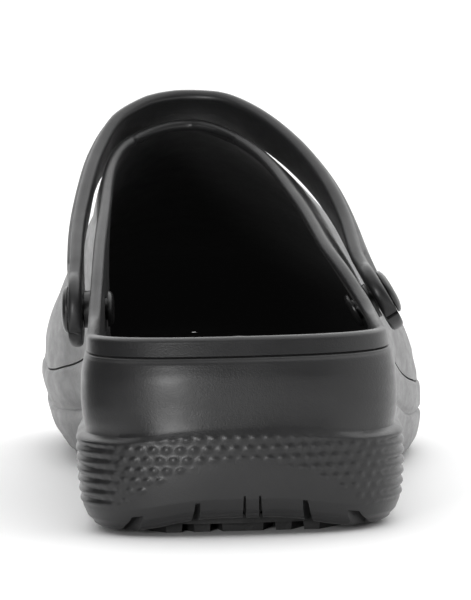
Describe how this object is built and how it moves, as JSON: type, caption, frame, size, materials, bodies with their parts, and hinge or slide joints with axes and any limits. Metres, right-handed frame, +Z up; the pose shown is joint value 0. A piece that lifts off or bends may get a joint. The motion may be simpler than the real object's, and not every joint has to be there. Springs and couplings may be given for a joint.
{
  "type": "chef clog",
  "caption": "Right chef clog: closed-toe moulded foam shoe, open collar, lugged rubber outsole, ribbed sole side, turning heel strap laid forward over the instep.",
  "frame": {"origin": "middle of the shoe's box, on the ground it stands on", "axes": "+Y to the toe, +X to the outer side of the right foot, +Z up"},
  "size_m": [0.1143, 0.286, 0.1097],
  "materials": {
    "upper_foam": "satin black moulded foam",
    "sole_foam": "satin black moulded foam",
    "outsole_rubber": "matte black rubber",
    "insole_foam": "matte black foam",
    "strap_foam": "satin black moulded foam",
    "rivet_plastic": "satin black plastic"
  },
  "bodies": {
    "root": {"upper": "upper_foam", "sole": "sole_foam", "outsole": "outsole_rubber", "insole": "insole_foam", "strap": "strap_foam", "rivet_medial": "rivet_plastic", "rivet_lateral": "rivet_plastic"}
  },
  "joints": []
}
